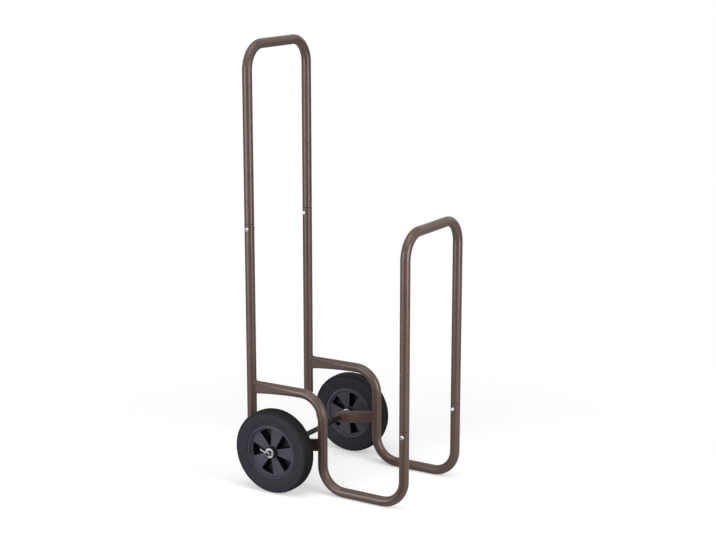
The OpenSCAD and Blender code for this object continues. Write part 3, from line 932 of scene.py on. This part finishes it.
# %% Cap nuts, and both on every joint
def cap_nut(name, seat):
    """A hexagon with turned corners under a domed cap."""
    nut = six_sided(name, seat, 8, -4, 0)
    body = turned("body", seat, [(0, 0), (3.95, 0), (4.65, -0.4), (4.65, -3.6), (3.9, -4), (0, -4)],
                  steps=72, closed=False)
    carve(nut, body, "INTERSECT")
    cap = turned("cap", seat, [(0, -3.9), (3.7, -3.9)] + [
        (r, -4 - h) for r, h in dome(3.71, 3.5, 3.69, 9)] + [(0, -7.5)], steps=48, closed=False)
    join(nut, cap)
    shade(25)
    return nut


bolts, nuts = {}, {}
for joint, place in JOINTS.items():
    bolts[joint] = on_both_sides(bolt_head(f"{joint}_bolts_looks", place + SEAT))
    nuts[joint] = on_both_sides(cap_nut(f"{joint}_nuts_looks", place - SEAT))
    print(joint, "has", faces_of(bolts[joint]), "faces of bolts and", faces_of(nuts[joint]), "of nuts")

# %% [markdown]
# ## Axle brackets
# A bracket is a 5 mm plate between the boss that carries the axle and the dropped side rail. Its
# outline is the tight band round two shapes, the disc at the boss and the straight edge at the rail,
# so both are put in one mesh and a convex hull is drawn round them. A small bevel gives the edge
# that powder coat always leaves: paint can't cover a sharp corner.

# %% Axle brackets
BRACKET_T, DISC_R = 5 * MM, 15 * MM
BOSS = AXLE + Vector((0, SIDE, 0))
RAIL_EDGE, RAIL_LOW, RAIL_HIGH = -0.0195, 0.097, 0.125  # the plate's end, just inside the rail

bracket_left = start_piece("axle_bracket_left_looks", "cylinder", vertices=64, radius=DISC_R,
                           depth=BRACKET_T, rotation=(pi / 2, 0, 0), location=BOSS)
bpy.ops.mesh.primitive_cube_add(size=1, scale=(1 * MM, BRACKET_T, RAIL_HIGH - RAIL_LOW), location=(
    RAIL_EDGE, SIDE, (RAIL_LOW + RAIL_HIGH) / 2))
pick_all()
bpy.ops.mesh.convex_hull()
pick_all()
bpy.ops.mesh.dissolve_limited(angle_limit=radians(1))
pick("EDGE", lambda e: abs(e.verts[0].co.y - e.verts[1].co.y) < 0.1 * MM)
bpy.ops.mesh.bevel(offset=0.7 * MM, segments=3)
close_piece(bracket_left, 40)
bracket_right = on_the_right(bracket_left, "axle_bracket_right_looks")
print("a bracket has", faces_of(bracket_left), "faces")

# %% [markdown]
# ## Squeezed rail ends
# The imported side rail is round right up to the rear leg. On the real cart its end is squeezed in a
# press before it is welded on: taller and thinner there, flat on both sides, and a little lower,
# and it grows round again over a hand's breadth. Each ring of the tube's mesh is flattened at its
# sides first, the bore and the skin by the same share, and then scaled and moved down.

# %% One squeezed ring
TUBE_R, BORE_R, MID_WALL = 11, 9.5, 10.2
LEG = Vector((box_of("rear_leg_left")[2].x, SIDE, box_of("side_rail_left")[1].z - TUBE_R * MM))
ROUND_FROM, FULL_AT, EASE = -70, -188, 1.7  # mm along the cart, and how softly the squeeze sets in
THIN, TALL, LOWER, FLAT = 0.34, 0.4, 4.8, 0.45  # what a full squeeze does to the tube


def squeezed(x):
    """How far the rail is squeezed x mm along the cart: 1 at the leg, 0 where it is round."""
    return min(1, max(0, (ROUND_FROM - x) / (ROUND_FROM - FULL_AT))) ** EASE


def squeeze_ring(x):
    """Flattens one ring of the rail at its sides, then makes it thinner, taller and lower."""
    full, centre = squeezed(x), Vector((x * MM, LEG.y, LEG.z))
    for radius, near, far in ((BORE_R, 0, MID_WALL), (TUBE_R, MID_WALL, TUBE_R + 1)):
        flat = radius * (1 - FLAT * full)
        for side in (-1, 1):
            found = pick("VERT", lambda v: abs(v.co.x - centre.x) < 0.01 * MM
                         and near < (v.co - centre).length / MM < far
                         and side * (v.co.y - centre.y) > flat * MM)
            if found:
                bpy.ops.transform.resize(value=(1, 0, 1), center_override=(
                    centre.x, centre.y + side * flat * MM, centre.z))
    pick("VERT", lambda v: abs(v.co.x - centre.x) < 0.01 * MM)
    bpy.ops.transform.resize(value=(1, 1 - THIN * full, 1 + TALL * full), center_override=centre)
    bpy.ops.transform.translate(value=(0, 0, -LOWER * full * MM))


print("rail meets leg at", [round(c, 4) for c in LEG])

# %% [markdown]
# Most of the rail is right as it is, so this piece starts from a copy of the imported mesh, whose
# loose triangles are merged first. The old end is cut off, a new one is drawn out past the leg, and
# rings are bisected into the straight run and squeezed. Last, a cylinder as wide as the leg cuts
# the end hollow, which a fitter calls coping.

# %% Side rails
CUT_AT, DRAWN_TO = -184, -199  # mm along the cart
NEW_RINGS = [-193] + list(range(-187, ROUND_FROM, 6))

rail_left = bpy.data.objects.new("side_rail_left_looks", frame["nodes"]["side_rail_left"].data.copy())
scene.collection.objects.link(rail_left)
only(rail_left)
bpy.ops.mesh.customdata_custom_splitnormals_clear()
mode("EDIT")
merge_doubles()
bpy.ops.mesh.mark_sharp(clear=True)
bpy.ops.mesh.bisect(plane_co=(CUT_AT * MM, 0, 0), plane_no=(1, 0, 0), clear_inner=True)
pick("EDGE", lambda e: e.is_boundary)
bpy.ops.mesh.extrude_region_move(TRANSFORM_OT_translate={"value": ((DRAWN_TO - CUT_AT) * MM, 0, 0)})
pick("EDGE", lambda e: e.is_boundary)
bpy.ops.mesh.bridge_edge_loops()
for x in NEW_RINGS:
    pick_all()
    bpy.ops.mesh.bisect(plane_co=(x * MM, 0, 0), plane_no=(1, 0, 0))
for x in sorted(NEW_RINGS + [CUT_AT, DRAWN_TO]):
    squeeze_ring(x)
close_piece(rail_left, 40)
leg_round = start_piece("leg_round", "cylinder", vertices=96, radius=(TUBE_R + 0.05) * MM,
                        depth=0.1, location=LEG)
mode("OBJECT")
carve(rail_left, leg_round)
mode("EDIT")
close_piece(rail_left, 40)
rail_right = on_the_right(rail_left, "side_rail_right_looks")
print("a side rail has", faces_of(rail_left), "faces")

# %% [markdown]
# ## Weld beads
# Where the side rail meets the rear leg, where the boss passes through its bracket and where the
# bracket meets the rail, the steel is joined by a bead of weld, laid before the powder coat and
# covered by it. A welder moves in small steps, so a bead is a row of overlapping scales. A bare
# wire along the seam becomes a curve with some thickness, and every other point is made thinner.

# %% A bead
def bead(name, places, thickness, closed=True):
    """A rippled bead along a seam. The ends of an open bead taper off."""
    piece = wire(name, places, closed)
    mode("OBJECT")
    bpy.ops.object.convert(target="CURVE")
    seam = piece.data
    seam.bevel_depth, seam.bevel_resolution, seam.use_fill_caps = thickness * MM, 3, True
    points = seam.splines[0].points
    for i, point in enumerate(points):
        end = 1 if closed else min(1, 0.45 + 0.25 * min(i, len(points) - 1 - i))
        point.radius = end * (1 if i % 2 else 0.8)
    bpy.ops.object.convert(target="MESH")
    mode("EDIT")
    return close_piece(piece, 60)


print("beads can be laid")

# %% [markdown]
# The seam on the leg is a saddle: the outline of the squeezed tube, flat at its sides, laid on the
# round of the leg. The one round the boss is a circle, and the one at the rail is a straight line.

# %% Weld beads
RIPPLE = 0.9  # mm between a scale's crest and its trough
BOSS_R = 10.2
SEAM_X, SEAM_LOW, SEAM_LENGTH = -19.8, 96.5, 29  # mm: the seam between bracket and rail


def saddle(a):
    """A place on the seam between the rail's squeezed end and the round of the leg."""
    across = max(-1, min(1, cos(a) / (1 - FLAT))) * TUBE_R * (1 - THIN) * (1 - FLAT)
    return LEG + MM * Vector((sqrt(TUBE_R ** 2 - across ** 2), across,
                              TUBE_R * (1 + TALL) * sin(a) - LOWER))


beads = [bead("welds_looks", [saddle(tau * i / 96) for i in range(96)], 2.3)]
for face in (-BRACKET_T / 2, BRACKET_T / 2):
    round_boss = [BOSS + Vector((BOSS_R * MM * cos(a), face, BOSS_R * MM * sin(a)))
                  for a in (tau * i / 72 for i in range(72))]
    up_the_rail = [Vector((SEAM_X * MM, SIDE + face, (SEAM_LOW + i * RIPPLE) * MM))
                   for i in range(round(SEAM_LENGTH / RIPPLE))]
    beads += [bead("boss_weld", round_boss, 1.9), bead("rail_weld", up_the_rail, 2.0, closed=False)]
welds = on_both_sides(join(*beads))
print("weld beads:", faces_of(welds), "faces")

# %% [markdown]
# ## Who wears what
# Every new piece now gets its finish and the body it moves with, and the imported nodes that it
# replaces are hidden. The wheels' pieces ride on the wheels, so they turn with them.

# %% Fit out the new pieces
def fit_out(piece, body, material, slot, *nodes):
    piece.data.materials.clear()
    piece.data.materials.append(material)
    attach(piece, body)
    if nodes:
        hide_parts(*nodes)


for side, tyre, rim, bracket, rail in (("left", tyre_left, rim_left, bracket_left, rail_left),
                                       ("right", tyre_right, rim_right, bracket_right, rail_right)):
    fit_out(tyre, f"wheel_{side}", tyre_rubber, "tyre_rubber", f"tyre_{side}")
    fit_out(rim, f"wheel_{side}", rim_plastic, "rim_moulding", f"wheel_rim_{side}")
    fit_out(bracket, "frame", coat, "frame_coat", f"axle_bracket_{side}")
    fit_out(rail, "frame", coat, "frame_coat", f"side_rail_{side}")
fit_out(welds, "frame", coat, "frame_coat")
fit_out(inner_washers, "frame", plated, "washer_zinc", "inner_washers")
fit_out(outer_washers, "frame", plated, "washer_zinc", "outer_washers")
fit_out(split_pins, "frame", pin_plated, "pin_zinc", "split_pins")
for joint in JOINTS:
    fit_out(bolts[joint], "frame", plated, "bolt_zinc", f"{joint}_bolts")
    fit_out(nuts[joint], "frame", plated, "bolt_zinc", f"{joint}_nuts")
print("new pieces ride on their bodies")

# %% [markdown]
# The faces inside the bolts' sockets get a material of their own: darker zinc, as painted shade for
# the recess. They are found by their place: near the bolt's line, not as far out as the head's crown.

# %% Dark sockets
SOCKET_R, SOCKET_OUT = 1.74 * MM, 2.38 * MM  # round the bolt's line, and outwards from the tube's skin

dark = 0
for joint, place in JOINTS.items():
    bolts[joint].data.materials.append(socket_shade_zinc)
    for face in bolts[joint].data.polygons:
        arm = face.center - place
        if hypot(arm.x, arm.z) < SOCKET_R and abs(face.center.y) < SIDE + SEAT.y + SOCKET_OUT:
            face.material_index = 1
            dark += 1
print(dark, "dark faces in the sockets")

# %% [markdown]
# The other tubes, plugs, bosses, bushes and axle stay as they were packed and only change their
# finish. The record says which slot each node has, and each slot has one finish.

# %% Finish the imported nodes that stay
FINISH_OF_SLOT = {"frame_coat": coat, "plug_moulding": plug_plastic, "axle_steel": axle_bar,
                  "bush_nylon": bush_nylon}
kept = []
for sub in frame["record"]["subparts"]:
    if sub["material_slot"] in FINISH_OF_SLOT:
        mesh = frame["nodes"][sub["node"]].data
        mesh.materials.clear()
        mesh.materials.append(FINISH_OF_SLOT[sub["material_slot"]])
        kept.append(sub["node"])
print("nodes with a new finish:", kept)
